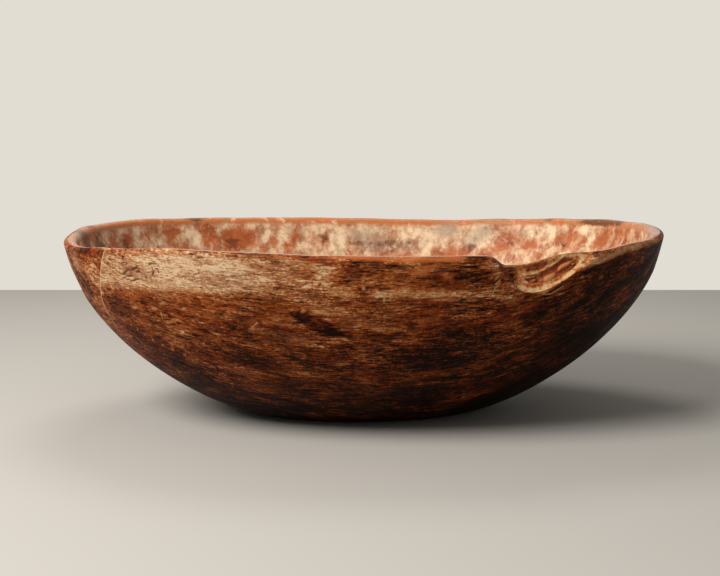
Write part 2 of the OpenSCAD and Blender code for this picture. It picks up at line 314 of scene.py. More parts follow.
class CarvedForm:
    """The bowl's skin as rows round the axis: every row gives a reach and a height for each turn."""

    def __init__(self, sizes):
        self.s = sizes
        self.lean = math.atan2(sizes.split_offset, sizes.height + sizes.heart_depth)

    def rim_height(self, turn):
        place = (turn % 360) / 360 * len(WARP)
        index = place.astype(int)
        heights = np.array(WARP)
        here, after = heights[index % len(WARP)], heights[(index + 1) % len(WARP)]
        return self.s.height + self.s.rim_warp * (here + (after - here) * ease(place - index))

    def dip_place(self, turn):
        return (turn - self.s.dip_start) % 360 / self.s.dip_span

    def outer_dip(self, turn):
        return window(self.dip_place(turn), OUTER_DIP)

    def outer_edge(self, turn):
        return self.rim_height(turn) - self.s.dip_outer_drop * self.outer_dip(turn)

    def inner_edge(self, turn):
        return self.rim_height(turn) - self.s.dip_inner_drop * window(self.dip_place(turn), INNER_DIP)

    def rounding(self, turn, full):
        return full * (1 - (1 - DIP_ROUND) * self.outer_dip(turn))

    def unworn_reach(self, turn, share):
        full = fullness(share, OUTER_PROFILE)
        half_length = (self.s.base_length + (self.s.length - self.s.base_length) * full) / 2
        half_width = (self.s.base_width + (self.s.width - self.s.base_width) * full) / 2
        return oval(turn, half_length, half_width, BASE_POWER + (RIM_POWER - BASE_POWER) * share)

    def outer_reach(self, turn, height):
        top = self.rim_height(turn)
        share = np.clip(height / top, 0, 1)
        end_depth = np.where(cos_of(turn) > 0, self.s.band_right, self.s.band_left)
        depth = self.s.band_sides + (end_depth - self.s.band_sides) * abs(cos_of(turn)) ** BAND_END_POWER
        band_foot = 1 - depth / top
        up_band = np.maximum(0, (share - band_foot) / (1 - band_foot))
        low = self.unworn_reach(turn, band_foot)
        straight = low + (self.unworn_reach(turn, np.ones_like(share)) - low) * up_band
        curved = self.unworn_reach(turn, share)
        return np.where(up_band > 0, curved + (straight - curved) * BAND_FLAT, curved)

    def inner_reach(self, turn, height):
        s, floor = self.s, self.s.floor_thickness
        share = np.clip((height - floor) / (self.rim_height(turn) - floor), 0, 1)
        full = fullness(share, INNER_PROFILE)
        half_length = s.floor_length / 2 + (s.length / 2 - s.floor_length / 2 - s.rim_thickness) * full
        half_width = s.floor_width / 2 + (s.width / 2 - s.floor_width / 2 - s.rim_thickness) * full
        return oval(turn, half_length, half_width, BASE_POWER + (RIM_POWER - BASE_POWER) * share)

    def side(self, turn, outside):
        """How the outer or the inner side reaches out, its top edge and its rounding."""
        if outside:
            return self.outer_reach, self.outer_edge(turn), self.rounding(turn, self.s.outer_round)
        return self.inner_reach, self.inner_edge(turn), self.rounding(turn, self.s.inner_round)

    def row(self, kind, v, turn):
        """Reach and height of one row."""
        outside, level = kind.startswith("outer"), np.zeros_like(turn)
        if kind == "foot":
            return self.outer_reach(turn, level) * v, level
        if kind == "floor":
            level = level + self.s.floor_thickness
            return self.inner_reach(turn, level) * v, level
        if kind == "face":
            return self.face_row(v, turn)
        reach_at, top, size = self.side(turn, outside)
        if kind.endswith("round"):
            inward = (-size if outside else size) * (1 - cos_of(v))
            return reach_at(turn, top - size) + inward, top - size * (1 - sin_of(v))
        band_foot = top - BAND_TALL * (1 - BAND_DIP_LOSS * (self.outer_dip(turn) if outside else 0))
        if kind.endswith("band"):
            height = band_foot + (top - size - band_foot) * v
        else:
            ground = 0 if outside else self.s.floor_thickness
            height = ground + (band_foot - ground) * v
        return reach_at(turn, height), height

    def face_row(self, v, turn):
        """Reach and height of a row on the top of the rim, which is hollowed in the dip."""
        outer_reach, outer_top, outer_size = self.side(turn, True)
        inner_reach, inner_top, inner_size = self.side(turn, False)
        outside = outer_reach(turn, outer_top - outer_size) - outer_size
        inside = inner_reach(turn, inner_top - inner_size) + inner_size
        hollow = self.s.dip_hollow * self.outer_dip(turn) * math.sin(math.pi * v)
        return outside + (inside - outside) * v - hollow, outer_top + (inner_top - outer_top) * v

    def split_turn(self, kind, v):
        """Turn at which a row meets the plane of the split, closed in on step by step."""
        turn = np.array([SPLIT_TOP_TURN])
        for _ in range(10):
            reach, height = self.row(kind, v, turn)
            across = (height + self.s.heart_depth) * math.tan(self.lean) / np.maximum(reach, 1 * MM)
            turn = 180 + np.degrees(np.arcsin(np.clip(across, 0, .9)))
        return float(turn[0])


def skin_rows():
    """Every row's kind and place, from the foot over the rim to the floor."""
    rows = [("foot", v) for v in FOOT_ROWS]
    rows += [("outer_low", (k / LOW_ROWS) ** LOW_CROWDING) for k in range(LOW_ROWS)]
    rows += [("outer_band", k / BAND_ROWS) for k in range(BAND_ROWS + 1)]
    rows += [("outer_round", t) for t in ROUND_TURNS]
    rows += [("face", (k + 1) / (FACE_ROWS + 1)) for k in range(FACE_ROWS)]
    rows += [("inner_round", t) for t in reversed(ROUND_TURNS)]
    rows += [("inner_band", 1 - k / BAND_ROWS) for k in range(BAND_ROWS + 1)]
    rows += [("inner_low", (1 - (k + 1) / INNER_LOW_ROWS) ** INNER_CROWDING) for k in range(INNER_LOW_ROWS)]
    return rows + [("floor", v) for v in FLOOR_ROWS]


def column_turns():
    """Turns of the columns, from the split's right side round to its left side, closer where there is detail."""
    turns = [SPLIT_TOP_TURN + gap for gap in SPLIT_COLUMNS]
    last = SPLIT_TOP_TURN + 360
    while turns[-1] < last - SPLIT_COLUMNS[-1] - LAST_GAP:
        turn = turns[-1] % 360
        fine = max(window(turn, SPLIT_TURNS), window(turn, DIP_TURNS))
        turns.append(turns[-1] + (COLUMN_STEP - FINE_SAVING * fine))
    return np.array(turns + [last - gap for gap in reversed(SPLIT_COLUMNS)])


def fine_noise(points, stretch, seed):
    """Smooth noise from about -1 to 1 at each point, stretched by a factor for each axis."""
    scale = Vector(stretch)
    shift = Vector((seed * 3.7, seed * 1.9, seed * 5.3))
    spots = points.reshape(-1, 3)
    heights = [noise.noise(Vector((p[0] * scale.x, p[1] * scale.y, p[2] * scale.z)) + shift) for p in spots]
    return np.array(heights).reshape(points.shape[:-1])


def blots(turn, height, reach, marks):
    """How strongly soft marks cover each point."""
    total = np.zeros_like(turn)
    for at_turn, at_height, long, tall, strength, *slant in marks:
        along = np.radians(turned(turn, at_turn)) * reach / MM
        up = height / MM - at_height
        lean = math.radians(sum(slant))
        u, w = along * math.cos(lean) + up * math.sin(lean), up * math.cos(lean) - along * math.sin(lean)
        total += strength * np.exp(-((u / long) ** 2 + (w / tall) ** 2))
    return total


def distance_to_run(u, w, run):
    """Distance of each point from a run of straight pieces."""
    best = np.full_like(u, 1e3)
    for (u0, w0), (u1, w1) in zip(run, run[1:]):
        du, dw = u1 - u0, w1 - w0
        t = np.clip(((u - u0) * du + (w - w0) * dw) / (du * du + dw * dw), 0, 1)
        best = np.minimum(best, np.hypot(u - u0 - du * t, w - w0 - dw * t))
    return best


def depth_inside(u, w, outline):
    """Distance of each point from a closed outline, positive inside it."""
    inside = np.zeros(u.shape, bool)
    closed = outline + outline[:1]
    for (u0, w0), (u1, w1) in zip(closed, closed[1:]):
        crosses = (w0 > w) != (w1 > w)
        inside ^= crosses & (u < u0 + (w - w0) * (u1 - u0) / (w1 - w0 if w1 != w0 else 1))
    away = distance_to_run(u, w, closed)
    return np.where(inside, away, -away)


def tracks(turn, height, reach, runs, width):
    """How near each point is to thin lines: 1 on a line, falling evenly to 0 at a width in mm."""
    best = np.zeros_like(turn)
    for run in runs:
        middle = run[0][0]
        away = turned(turn, middle)
        scale = math.radians(1) * float(np.mean(reach[abs(away) < 6])) / MM
        line = [((t - middle) * scale, h) for t, h in run]
        best = np.maximum(best, 1 - distance_to_run(np.radians(away) * reach / MM, height / MM, line) / width)
    return best


def on_dip(run):
    """A run of places on the dip's face, in mm."""
    return [(place * FACE_SIZE[0], across * FACE_SIZE[1]) for place, across in run]


class BowlSkin:
    """All points of the skin with their relief and their marks."""

    def __init__(self, sizes):
        self.form, self.sizes = CarvedForm(sizes), sizes
        self.rows, self.columns = skin_rows(), column_turns()
        self.kinds = np.array([kind for kind, _ in self.rows])
        self.outside = self.of_kind("foot", "outer_low", "outer_band", "outer_round")
        self.lay_out()
        self.mark()
        self.carve()

    def of_kind(self, *kinds):
        """Which rows are of these kinds, as one column beside the points."""
        return np.isin(self.kinds, kinds)[:, None]

    def lay_out(self):
        shape = (len(self.rows), len(self.columns))
        self.turn, self.reach, self.height, self.v = (np.zeros(shape) for _ in range(4))
        offset = self.columns - SPLIT_TOP_TURN
        from_split = np.minimum(offset, 360 - offset)
        follow = ease(1 - from_split / SPLIT_SPREAD)
        self.split_height = np.zeros(len(self.rows))
        for i, (kind, v) in enumerate(self.rows):
            shift = np.clip(self.form.split_turn(kind, v) - SPLIT_TOP_TURN, *SPLIT_SHIFT)
            turn = self.columns + shift * follow
            reach, height = self.form.row(kind, v, np.array([SPLIT_TOP_TURN + shift]))
            self.split_height[i] = height[0]
            open_share = np.clip((height[0] - SPLIT_FOOT) / (self.sizes.height - SPLIT_FOOT), 0, 1)
            width = self.sizes.split_width * (SPLIT_LEAST + (1 - SPLIT_LEAST) * open_share)
            half_gap = min(np.degrees(width / 2 / max(reach[0], 5 * MM)), HALF_GAP_LIMIT)
            turn[0] += half_gap
            turn[-1] -= half_gap
            self.turn[i], self.v[i] = turn, v
            self.reach[i], self.height[i] = self.form.row(kind, v, turn)
        self.from_split = np.radians(from_split) * self.reach
        self.left_of_split = (offset > 180)[None, :] & np.ones(shape, bool)

    def points(self):
        return np.stack([self.reach * cos_of(self.turn), self.reach * sin_of(self.turn), self.height], axis=-1)

    def normals(self, points):
        across = np.empty_like(points)
        across[:, 1:-1] = points[:, 2:] - points[:, :-2]
        across[:, 0], across[:, -1] = points[:, 1] - points[:, 0], points[:, -1] - points[:, -2]
        normal = np.cross(across, np.gradient(points, axis=0))
        return normal / np.maximum(np.linalg.norm(normal, axis=-1, keepdims=True), 1e-12)

    def mark(self):
        """Work out the soft masks that the finish and the relief share."""
        turn, height, reach, v = self.turn % 360, self.height, self.reach, self.v
        form, outer_rows, right_of_split = self.form, self.outside, ~self.left_of_split
        face_rows, round_rows = self.of_kind("face"), self.of_kind("outer_round")
        inner_rows = self.of_kind("inner_round", "inner_band", "inner_low", "floor")
        place, dip = form.dip_place(turn), form.outer_dip(turn)
        in_dip = ease(dip * DIP_ONSET)
        below = (np.where(outer_rows, form.outer_edge(turn), form.inner_edge(turn)) - height) / MM
        rim = (form.rim_height(turn) - height) / MM
        self.m = m = {}

        m["below"] = np.where(face_rows, 0, np.maximum(below, 0))
        m["inside"] = np.where(face_rows, np.where(dip > .01, rise(v, .86, .12), v), inner_rows * 1.0)
        m["face"] = np.where(round_rows, in_dip * .8, face_rows * in_dip) * rise(place, .17, .26)
        # Pale sharp edges along the front rim: real edge wear, and a painted highlight where the rim glints.
        sharp_edge = (round_rows & (v > 70)) | (face_rows & (v < .25))
        m["edge_wear_and_glint"] = sharp_edge * window(turn, EDGE_WEAR_AND_GLINT_TURNS)
        bare_lip = face_rows * (v < .8) * window(turn, BARE_LIP_TURNS)
        m["lip"] = (face_rows | self.of_kind("inner_round")) * (1 - in_dip) * (1 - bare_lip)

        def cover(marks):
            return blots(turn, height, reach, marks)

        # The bleached band under the rim, from the split to the dip
        bare = right_of_split * window(turn, PALE_BAND_TURNS) * ease((37 - rim) / 13)
        bare = bare * (.35 + .65 * rise(rim, 1, 6)) * (.8 + .45 * window(turn, PALEST_TURNS))
        pale_face = face_rows * .9 * rise(place, .04, .1) * rise(dip, .02, .125)
        m["strip"] = outer_rows * cover(BARE_STRIP)
        m["pale"] = outer_rows * (bare + cover(PALE_BLOTS)) + pale_face
        m["dark"] = outer_rows * cover(DARK_BLOTS)
        m["orange"] = outer_rows * cover(ORANGE_BLOTS)
        m["grey"] = 0
        for name, marks in (("orange", INNER_ORANGE), ("pale", INNER_CREAM),
                            ("dark", INNER_DARK_AND_SHADE), ("grey", INNER_GREY_AND_REFLECTION)):
            m[name] = m[name] + (inner_rows | face_rows) * cover(marks)

        m["groove"] = outer_rows * np.maximum(tracks(turn, height, reach, WORM_TRACKS, 2.2),
                                              tracks(turn, height, reach, DARK_PITS, 2.6))
        m["scratch"] = outer_rows * tracks(turn, height, reach, PALE_SCRATCHES, 2.0)
        climb = (turn - RISE_START) % 360
        climb = climb * ease(climb / 6)
        level = np.maximum(0, RISE_END - climb) * RISE_FULL / (RISE_END - RISE_FULL)
        m["lift"] = GRAIN_RISE * np.minimum(np.minimum(climb, RISE_FULL), level) * MM
        opening = rise(height, SPLIT_FOOT, 25 * MM)
        # The split's right lip is painted pale: a worn edge, and a painted highlight where the proud lip catches the
        # light.
        m["split_lip_wear_and_highlight"] = outer_rows * right_of_split * ease(1.7 - self.from_split / (1.0 * MM)) * opening
        m["split_shade"] = outer_rows * self.left_of_split * ease(1.4 - self.from_split / (1.5 * MM)) * opening
        self.mark_dip(place, below, face_rows * in_dip)

    def mark_dip(self, place, below, on_face):
        """Mark the torn hollow, its ridges and lumps, and the pale lip round it."""
        m, face_rows = self.m, self.of_kind("face")
        u, w = place * FACE_SIZE[0], self.v * FACE_SIZE[1]
        torn = np.maximum(*(depth_inside(u, w, on_dip(outline)) for outline in TORN_OUTLINES))
        m["torn"] = np.where(face_rows, np.maximum(torn, -9), -9)
        lumps = np.zeros_like(place)
        for at, across, half_long, half_tall, strength in TORN_LUMPS:
            from_middle = ((place - at) / half_long) ** 2 + ((self.v - across) / half_tall) ** 2
            lumps += strength * np.exp(-from_middle ** 1.5)
        ridges = [ease(1 - distance_to_run(u, w, on_dip(run)) / width) for run, width in TORN_RIDGES]
        m["ridge"] = np.where(face_rows, np.maximum(*ridges), 0)
        m["lump"] = np.where(face_rows, np.clip(lumps, 0, 1), 0)
        on_wall = np.where(face_rows, w, -below * 1.1)
        near_lip = ease(1.9 * (1 - distance_to_run(u, on_wall, on_dip(PALE_LIP)) / 3.0))
        lip_pale = np.where(face_rows | self.outside, near_lip * ease(1.6 - m["below"] * .2), 0)
        m["lip_pale"] = np.maximum(lip_pale, .7 * on_face * rise(place, .84, .06))

    def carve(self):
        """Lower, raise and roughen the skin."""
        points, m, turn = self.points(), self.m, self.turn % 360
        left, right = self.left_of_split, ~self.left_of_split
        swell, ripple, roughness, ragged = (fine_noise(points, *kind) for kind in (SWELL, RIPPLE, ROUGHNESS, RAGGED))
        above_foot = ease(self.height / (6 * MM)) * ~self.of_kind("foot")
        on_floor = np.where(self.of_kind("floor"), FLOOR_SHARE, 1)
        push = (SKIN_SWELL * swell + SKIN_RIPPLE * ripple) * above_foot * on_floor

        m["torn"] = np.clip(m["torn"] + 1.5 * ragged + .5 * roughness, -3, 3)
        raised = np.maximum(m["ridge"], m["lump"])
        torn_edge = ease(m["torn"] / 1.6 + .2) * (1 - raised)
        push -= torn_edge * (TORN_DEPTH + TORN_ROUGHNESS * roughness + TORN_RIPPLE * ripple)
        push += raised * (RAISED + RAISED_RIPPLE * ripple)
        push += m["face"] * (FACE_RIPPLE * ripple + FACE_ROUGHNESS * roughness)
        push -= TRACK_DEPTH * rise(m["groove"], .4, .5)

        # The wood left of the split stands back, outside and inside, and the other edge curls up a little
        open_share = rise(self.height, SPLIT_FOOT, 45 * MM)
        outward = np.where(m["inside"] > .5, -1, 1)
        push -= STEP_DOWN * left * ease(1 - self.from_split / (18 * MM)) * open_share * outward
        push += STEP_LIP * right * ease(1 - self.from_split / (3 * MM)) * open_share * (outward > 0)
        points = points + self.normals(points) * push[..., None] * MM

        lean = END_LEAN * MM * window(turn, LEFT_END_TURNS) * rise(self.height, 100 * MM, 35 * MM)
        points[..., 0] += lean * cos_of(self.turn)
        points[..., 1] += lean * sin_of(self.turn)
        round_rim = np.stack([cos_of(self.turn), sin_of(self.turn), self.turn * 0], -1)
        uplift = RIM_WOBBLE * fine_noise(round_rim, *WOBBLE) + RIM_RIPPLE * ripple
        points[..., 2] += (uplift + BACK_RISE * window(turn, BACK_TURNS)) * ease(1 - m["below"] / 14) * MM
        drop = left * ease(1 - self.from_split / (20 * MM)) * ease(1 - m["below"] / 40)
        points[..., 2] = np.maximum(points[..., 2] - STEP_DROP * MM * drop, 0)
        self.final = points

    def build(self, name):
        """Join the points into one closed mesh, with the split open in it."""
        rows, count = self.turn.shape
        index = np.arange(rows * count).reshape(rows, count)
        quads = np.stack([index[:-1, :-1], index[:-1, 1:], index[1:, 1:], index[1:, :-1]], -1).reshape(-1, 4)
        faces = [tuple(quad) for quad in quads.tolist()]
        right, left = index[:, 0].tolist(), index[:, -1].tolist()
        outer_band = [i for i, kind in enumerate(self.kinds) if kind == "outer_band"]
        inner_band = [i for i, kind in enumerate(self.kinds) if kind == "inner_band"]
        inner_of = dict(zip(outer_band, reversed(inner_band)))
        top = outer_band[-1]
        through = next(i for i in outer_band if self.split_height[i] > self.split_height[top] - SPLIT_THROUGH)
        opening = next(i for i in range(rows) if self.outside[i, 0] and self.split_height[i] > SPLIT_FOOT)
        closed = inner_of[through]
        for i in range(rows - 1):
            if not opening <= i < closed:
                faces.append((left[i], right[i], right[i + 1], left[i + 1]))
        points = self.final.reshape(-1, 3).tolist()
        values = {key: list(marks.reshape(-1)) for key, marks in self.m.items()}

        def add(point, like):
            points.append(tuple(point))
            for numbers in values.values():
                numbers.append(numbers[like])
            return len(points) - 1

        foot = add((0, 0, 0), right[0])
        floor = add((0, 0, float(np.mean(self.final[-1, :, 2]))), right[-1])
        for j in range(count):
            k = (j + 1) % count
            faces.append((foot, right[0] + k, right[0] + j))
            faces.append((floor, right[-1] + j, right[-1] + k))
        skin_faces = len(faces)

        # The split's two cheeks meet at a line inside the wall, and lie bare where it runs right through
        depth = {}
        for i in range(opening, through + 1):
            into = SPLIT_DEPTH[0] + SPLIT_DEPTH[1] * (i - opening) / (through - opening)
            middle = (self.final[i, 0] + self.final[i, -1]) / 2
            depth[i] = add(middle + np.array([into, 0, 0]), right[i])
        faces.append((left[opening], right[opening], depth[opening]))
        for i in range(opening, through):
            faces.append((right[i], right[i + 1], depth[i + 1], depth[i]))
            faces.append((left[i], depth[i], depth[i + 1], left[i + 1]))
        near, far, edge = right[closed], left[closed], depth[through]
        faces += [(far, edge, near), (edge, right[through], near), (left[through], edge, far)]
        for i in range(through, top):
            faces.append((right[i], right[i + 1], right[inner_of[i + 1]], right[inner_of[i]]))
            faces.append((left[i], left[inner_of[i]], left[inner_of[i + 1]], left[i + 1]))
        over = slice(top, inner_of[top] + 1)
        faces += [tuple(right[over]), tuple(reversed(left[over]))]

        mesh = bpy.data.meshes.new(name)
        mesh.from_pydata(points, [], faces)
        crack = np.arange(len(faces)) >= skin_faces
        mesh.polygons.foreach_set("use_smooth", ~crack)
        painted = (np.array(values["inside"]) > .5) | (np.array(values["lip"]) > .5)
        painted &= np.array(values["face"]) < .35
        mesh.polygons.foreach_set("material_index", [int(all(painted[v] for v in face)) for face in faces])
        for key, numbers in values.items():
            layer = mesh.attributes.new(key, "FLOAT", "POINT")
            layer.data.foreach_set("value", np.array(numbers, np.float32))
        mesh.attributes.new("crack", "FLOAT", "FACE").data.foreach_set("value", crack.astype(np.float32))
        mesh.validate()
        return mesh


class Value:
    """A number or a colour that nodes work out; numbers add, subtract and multiply like plain ones."""

    def __init__(self, nodes, socket):
        self.nodes, self.socket = nodes, socket

    def __add__(self, other):
        return self.nodes.maths("ADD", self, other)

    def __sub__(self, other):
        return self.nodes.maths("SUBTRACT", self, other)

    def __mul__(self, other):
        return self.nodes.maths("MULTIPLY", self, other)

    def centred(self, share):
        """Noise from 0 to 1, moved to swing round 0 by half a share each way."""
        return (self - .5) * share

    def step(self, low, high):
        """A soft step from 0 at low to 1 at high."""
        return self.nodes.node("ShaderNodeMapRange", {"Value": self, "From Min": low, "From Max": high},
                               interpolation_type="SMOOTHSTEP")


class Nodes:
    """The nodes of a material or a world, made one call at a time."""

    def __init__(self, owner, output):
        owner.use_nodes = True
        self.tree = owner.node_tree
        self.tree.nodes.clear()
        self.output = self.tree.nodes.new(output)

    def put(self, socket, value):
        if isinstance(value, Value):
            self.tree.links.new(value.socket, socket)
        else:
            socket.default_value = (*value, 1) if socket.type == "RGBA" else value

    def node(self, kind, inputs=(), output=0, **settings):
        """Add a node with its inputs, and give one of its outputs."""
        made = self.tree.nodes.new(kind)
        for key, value in settings.items():
            setattr(made, key, value)
        for key, value in dict(inputs).items():
            self.put(made.inputs[key], value)
        return Value(self, made.outputs[output])

    def maths(self, operation, *values, clamp=False):
        return self.node("ShaderNodeMath", enumerate(values), operation=operation, use_clamp=clamp)

    def mark(self, name):
        return self.node("ShaderNodeAttribute", output="Fac", attribute_name=name)

    def parts(self, source):
        """The three numbers of a place."""
        made = self.tree.nodes.new("ShaderNodeSeparateXYZ")
        self.put(made.inputs[0], source)
        return [Value(self, socket) for socket in made.outputs]

    def noise(self, source, scale, detail, rough, twist=0):
        """Noise in a place, with one scale or one for each axis."""
        if isinstance(scale, tuple):
            stretched = (part * along for part, along in zip(self.parts(source), scale))
            source, scale = self.node("ShaderNodeCombineXYZ", enumerate(stretched)), 1
        return self.node("ShaderNodeTexNoise", {"Vector": source, "Scale": scale, "Detail": detail,
                                                "Roughness": rough, "Distortion": twist}, "Fac")

    def mix(self, share, a, b, blend="MIX"):
        """Two colours mixed; 0, 6 and 7 are the inputs for the share and the colours, and 2 is the mixed colour."""
        return self.node("ShaderNodeMix", {0: share, 6: a, 7: b}, 2, data_type="RGBA", blend_type=blend)

    def ramp(self, value, *stops):
        made = self.tree.nodes.new("ShaderNodeValToRGB")
        self.put(made.inputs[0], value)
        elements = made.color_ramp.elements
        elements[0].position, elements[1].position = stops[0][0], stops[-1][0]
        for place, _ in stops[1:-1]:
            elements.new(place)
        for element, (_, colour) in zip(elements, stops):
            element.color = (*colour, 1)
        return Value(self, made.outputs[0])

    def coat(self, colour, roughness, bump, shine):
        """End a material with its shader."""
        self.put(self.output.inputs["Surface"], self.node("ShaderNodeBsdfPrincipled", {
            "Base Color": colour, "Roughness": roughness, "Normal": bump, "Specular IOR Level": shine}))


def painted_wood(tone, name, shine):
    """Old wood with worn paint: stain, grain and painted shade outside, flaking paint inside, torn fibres in the dip,
    and painted highlights and shade along a few edges.
    """
    material = bpy.data.materials.new(name)
    f = Nodes(material, "ShaderNodeOutputMaterial")
    spot = f.node("ShaderNodeTexCoord", output="Object")
    x, y, z = f.parts(spot)
    heart = z - f.mark("lift") + tone.heart_depth
    across = y * RING_SQUASH
    ring = f.maths("SQRT", across * across + heart * heart)
    log = f.node("ShaderNodeCombineXYZ", {0: x, 1: ring, 2: y})
    fibre, streak, patch, speck, blotch, scuff, dash, rub, rust = (
        f.noise(log, *settings) for settings in GRAIN.values())
    pale, dark, orange, face, inside, below = map(f.mark, ("pale", "dark", "orange", "face", "inside", "below"))

    # Outside: one depth of stain and painted shade, from bare wood at 0 to black at 1. It grows towards the foot as
    # stain and painted shade, towards the right end as painted shade, and most near the foot as a painted contact
    # shadow.
    worn = (rub + blotch.centred(.5)).step(.40, .62)
    grain = streak.centred(1.3) + fibre.centred(1.05) + blotch.centred(1.2) + scuff.centred(1.75)
    stain_and_shade = below.step(15, 120) * .33 + .46 + x.step(-.02, .21) * .38 + below.step(105, 145) * .16
    stain_and_shade = stain_and_shade + grain * (worn * .55 + .55) + patch.centred(1.45)
    bare_edge = pale + patch.centred(1.5) + blotch.centred(1.0)
    bare_share = bare_edge.step(.05, 1.15)
    stain_and_shade = stain_and_shade - bare_share * .31 - bare_edge.step(1.3, 2.1) * .26
    stain_and_shade = stain_and_shade + f.mark("split_shade") * .30 + (dark + blotch.centred(1.5)).step(.25, 1.0) * .30
    stain_and_shade = stain_and_shade + dash.step(.57, .66) * .28 - dash.step(.41, .33) * (worn * .8 + .2) * .20
    stain_and_shade = stain_and_shade - f.mark("lip_pale") * (scuff + streak.centred(1.0)).step(.28, .58) * .42
    strip_edge = f.mark("strip") + blotch.centred(2.0) + scuff.centred(2.0)
    stain_and_shade = stain_and_shade - strip_edge.step(.25, 1.25) * .64
    # The stain ramp turns that painted shade into darker colour as well.
    stain = f.ramp(stain_and_shade, (0, tone.bare), (.17, tone.tan), (.36, tone.orange_brown), (.56, tone.red_brown),
                   (.76, tone.dark_brown), (.97, tone.black))
    weathered = f.ramp(stain_and_shade, (0, tone.bare), (.22, tone.weathered), (.44, tone.dust), (.70, tone.groove),
                       (.92, tone.dark_brown))
    stain = f.mix(bare_share * (x.step(-.06, .01) * -.82 + .92), stain, weathered)
    stain = f.mix(strip_edge.step(.5, 1.3) * scuff.step(.3, .6) * .6, stain, tone.tan)
    rusty = rust.step(.50, .58) * stain_and_shade.step(.25, .42)
    stain = f.mix(rusty * .5, stain, f.mix(1, stain, tone.rust, "MULTIPLY"))
    dusty = (scuff + streak.centred(.8)).step(.50, .66) * worn * stain_and_shade.step(.98, .6)
    stain = f.mix(dusty * .48, stain, tone.dust)
    # Pale right lip of the split: wear and a painted highlight.
    stain = f.mix(f.mark("split_lip_wear_and_highlight") * scuff.step(.25, .6) * .65, stain, tone.bare)
    orange_edge = orange + streak.centred(1.2) + scuff.centred(1.8) + blotch.centred(1.4)
    outside = f.mix(orange_edge.step(.35, 1.0) * .7, stain, tone.paint)
    outside = f.mix(f.mark("scratch").step(.5, .85) * scuff.step(.25, .55) * .8, outside, tone.tan)
    outside = f.mix(f.mark("groove").step(.50, .80) * .9, outside, tone.groove)

    # Inside: cream and orange paint, dark patches and grey wear
    grime = f.noise(spot, 70, 5, .65)
    drip = f.noise(spot, (105, 105, 52), 6, .68, .6)
    flake = f.noise(spot, 60, 6, .68, .3)
    fleck = f.noise(spot, 300, 4, .7)
    broad = f.noise(spot, (11, 11, 7), 5, .6, .7)
    hollow = below.step(32, 75)
    painted = (orange - pale + drip.centred(2.5) + flake.centred(2.4)) * (hollow * -.5 + 1)
    painted = painted + (broad * 5 - 2.7) * hollow + fleck.centred(1.1)
    painted = painted.step(-.75, .75) * .95
    cream = f.mix((grime * .5 + (drip + flake) * .25).step(.44, .62), tone.cream, tone.weathered)
    cream = f.mix((flake + scuff.centred(.6)).step(.52, .72) * .5, cream, tone.dust)
    paint = f.mix((flake * .6 + scuff * .4).step(.36, .64), tone.paint, tone.red_paint)
    paint = f.mix(scuff.step(.5, .75) * .45, paint, tone.tan)
    lining = f.mix(painted, cream, paint)
    bared = below.step(60, 125) * .62 + rub.centred(1.6) + flake.centred(1.0) + scuff.centred(.8)
    bare_wood = f.ramp(streak.centred(1.4) + scuff.centred(1.4) + .5,
                       (.2, tone.weathered), (.5, tone.dust), (.85, tone.groove))
    lining = f.mix(bared.step(.34, .72) * .8, lining, bare_wood)
    # Grey wear, and along the front rim's top a painted reflection.
    greyed = f.mark("grey") + drip.centred(.8)
    lining = f.mix(greyed.step(.25, .9) * .65, lining, tone.grey)
    # Dark spots inside, with painted shade at the inner left end among them.
    spots = dark + flake.centred(2.0) + fleck.centred(1.6)
    lining = f.mix(spots.step(.2, .95) * .72, lining, tone.groove)
    lining = f.mix(.25, lining, f.ramp(fibre, (.25, (.25, .25, .25)), (.75, (1, 1, 1))), "MULTIPLY")

    # The lip: paint rubbed through along the rim
    rubbed = f.mix((flake + scuff.centred(.8)).step(.36, .70), tone.paint, tone.tan)
    chips = dark + (flake + fleck.centred(1.0)).centred(1.4)
    rubbed = f.mix(chips.step(.25, .9) * .8, rubbed, tone.groove)
    rubbed = f.mix(greyed.step(.2, .8) * .8, rubbed, tone.grey)
    lip_share = f.maths("MAXIMUM", f.mark("lip"), (below + flake.centred(9)).step(7, 3) * inside)

    # The dip: pale broken wood, and dark red-brown where it tore out
    split_fibre = f.noise(spot, (60, 300, 300), 7, .78, .8)
    lip_light = f.mark("lip_pale") * (split_fibre.step(.36, .60) * .55 + .50)
    lip_light = f.maths("MAXIMUM", lip_light, f.mark("ridge") * 1.05)
    broken = split_fibre.centred(2.2) + blotch.centred(1.2) + fleck.centred(2.6) - lip_light * .52 + .52
    broken = f.ramp(broken, (.06, tone.fresh), (.34, tone.tan), (.58, tone.paint), (.76, tone.orange_brown),
                    (1, tone.red_brown))
    torn = f.mix(fleck.step(.47, .61) * .8, tone.torn, tone.paint)
    torn_depth = f.mark("torn") + fleck.centred(5) - f.mark("ridge") * 4
    broken = f.mix(torn_depth.step(-.7, .5) * .95, broken, torn)
    lump = (f.mark("lump") + fleck.centred(1.2)).step(.35, .65)
    broken = f.mix(lump, broken, f.mix(scuff.step(.4, .6), tone.paint, tone.tan))

    colour = f.mix(inside.step(.4, .6), outside, lining)
    colour = f.mix(lip_share * flake.step(.3, .45), colour, rubbed)
    colour = f.mix((face + scuff.centred(.9)).step(.30, .62), colour, broken)
    # Paler along the front rim's edges: edge wear and a painted highlight.
    edge_wear_and_glint = (f.mark("edge_wear_and_glint") + streak.centred(1.6) + drip.centred(1.6)).step(.7, 1.1)
    colour = f.mix(edge_wear_and_glint * .65, colour, tone.bare)
    # The split's cheeks are painted near black: painted shade inside the crack.
    colour = f.mix(f.mark("crack") * .85, colour, tone.black)
    colour = f.mix(speck.step(.66, .74) * .45, colour, tone.dark_brown)

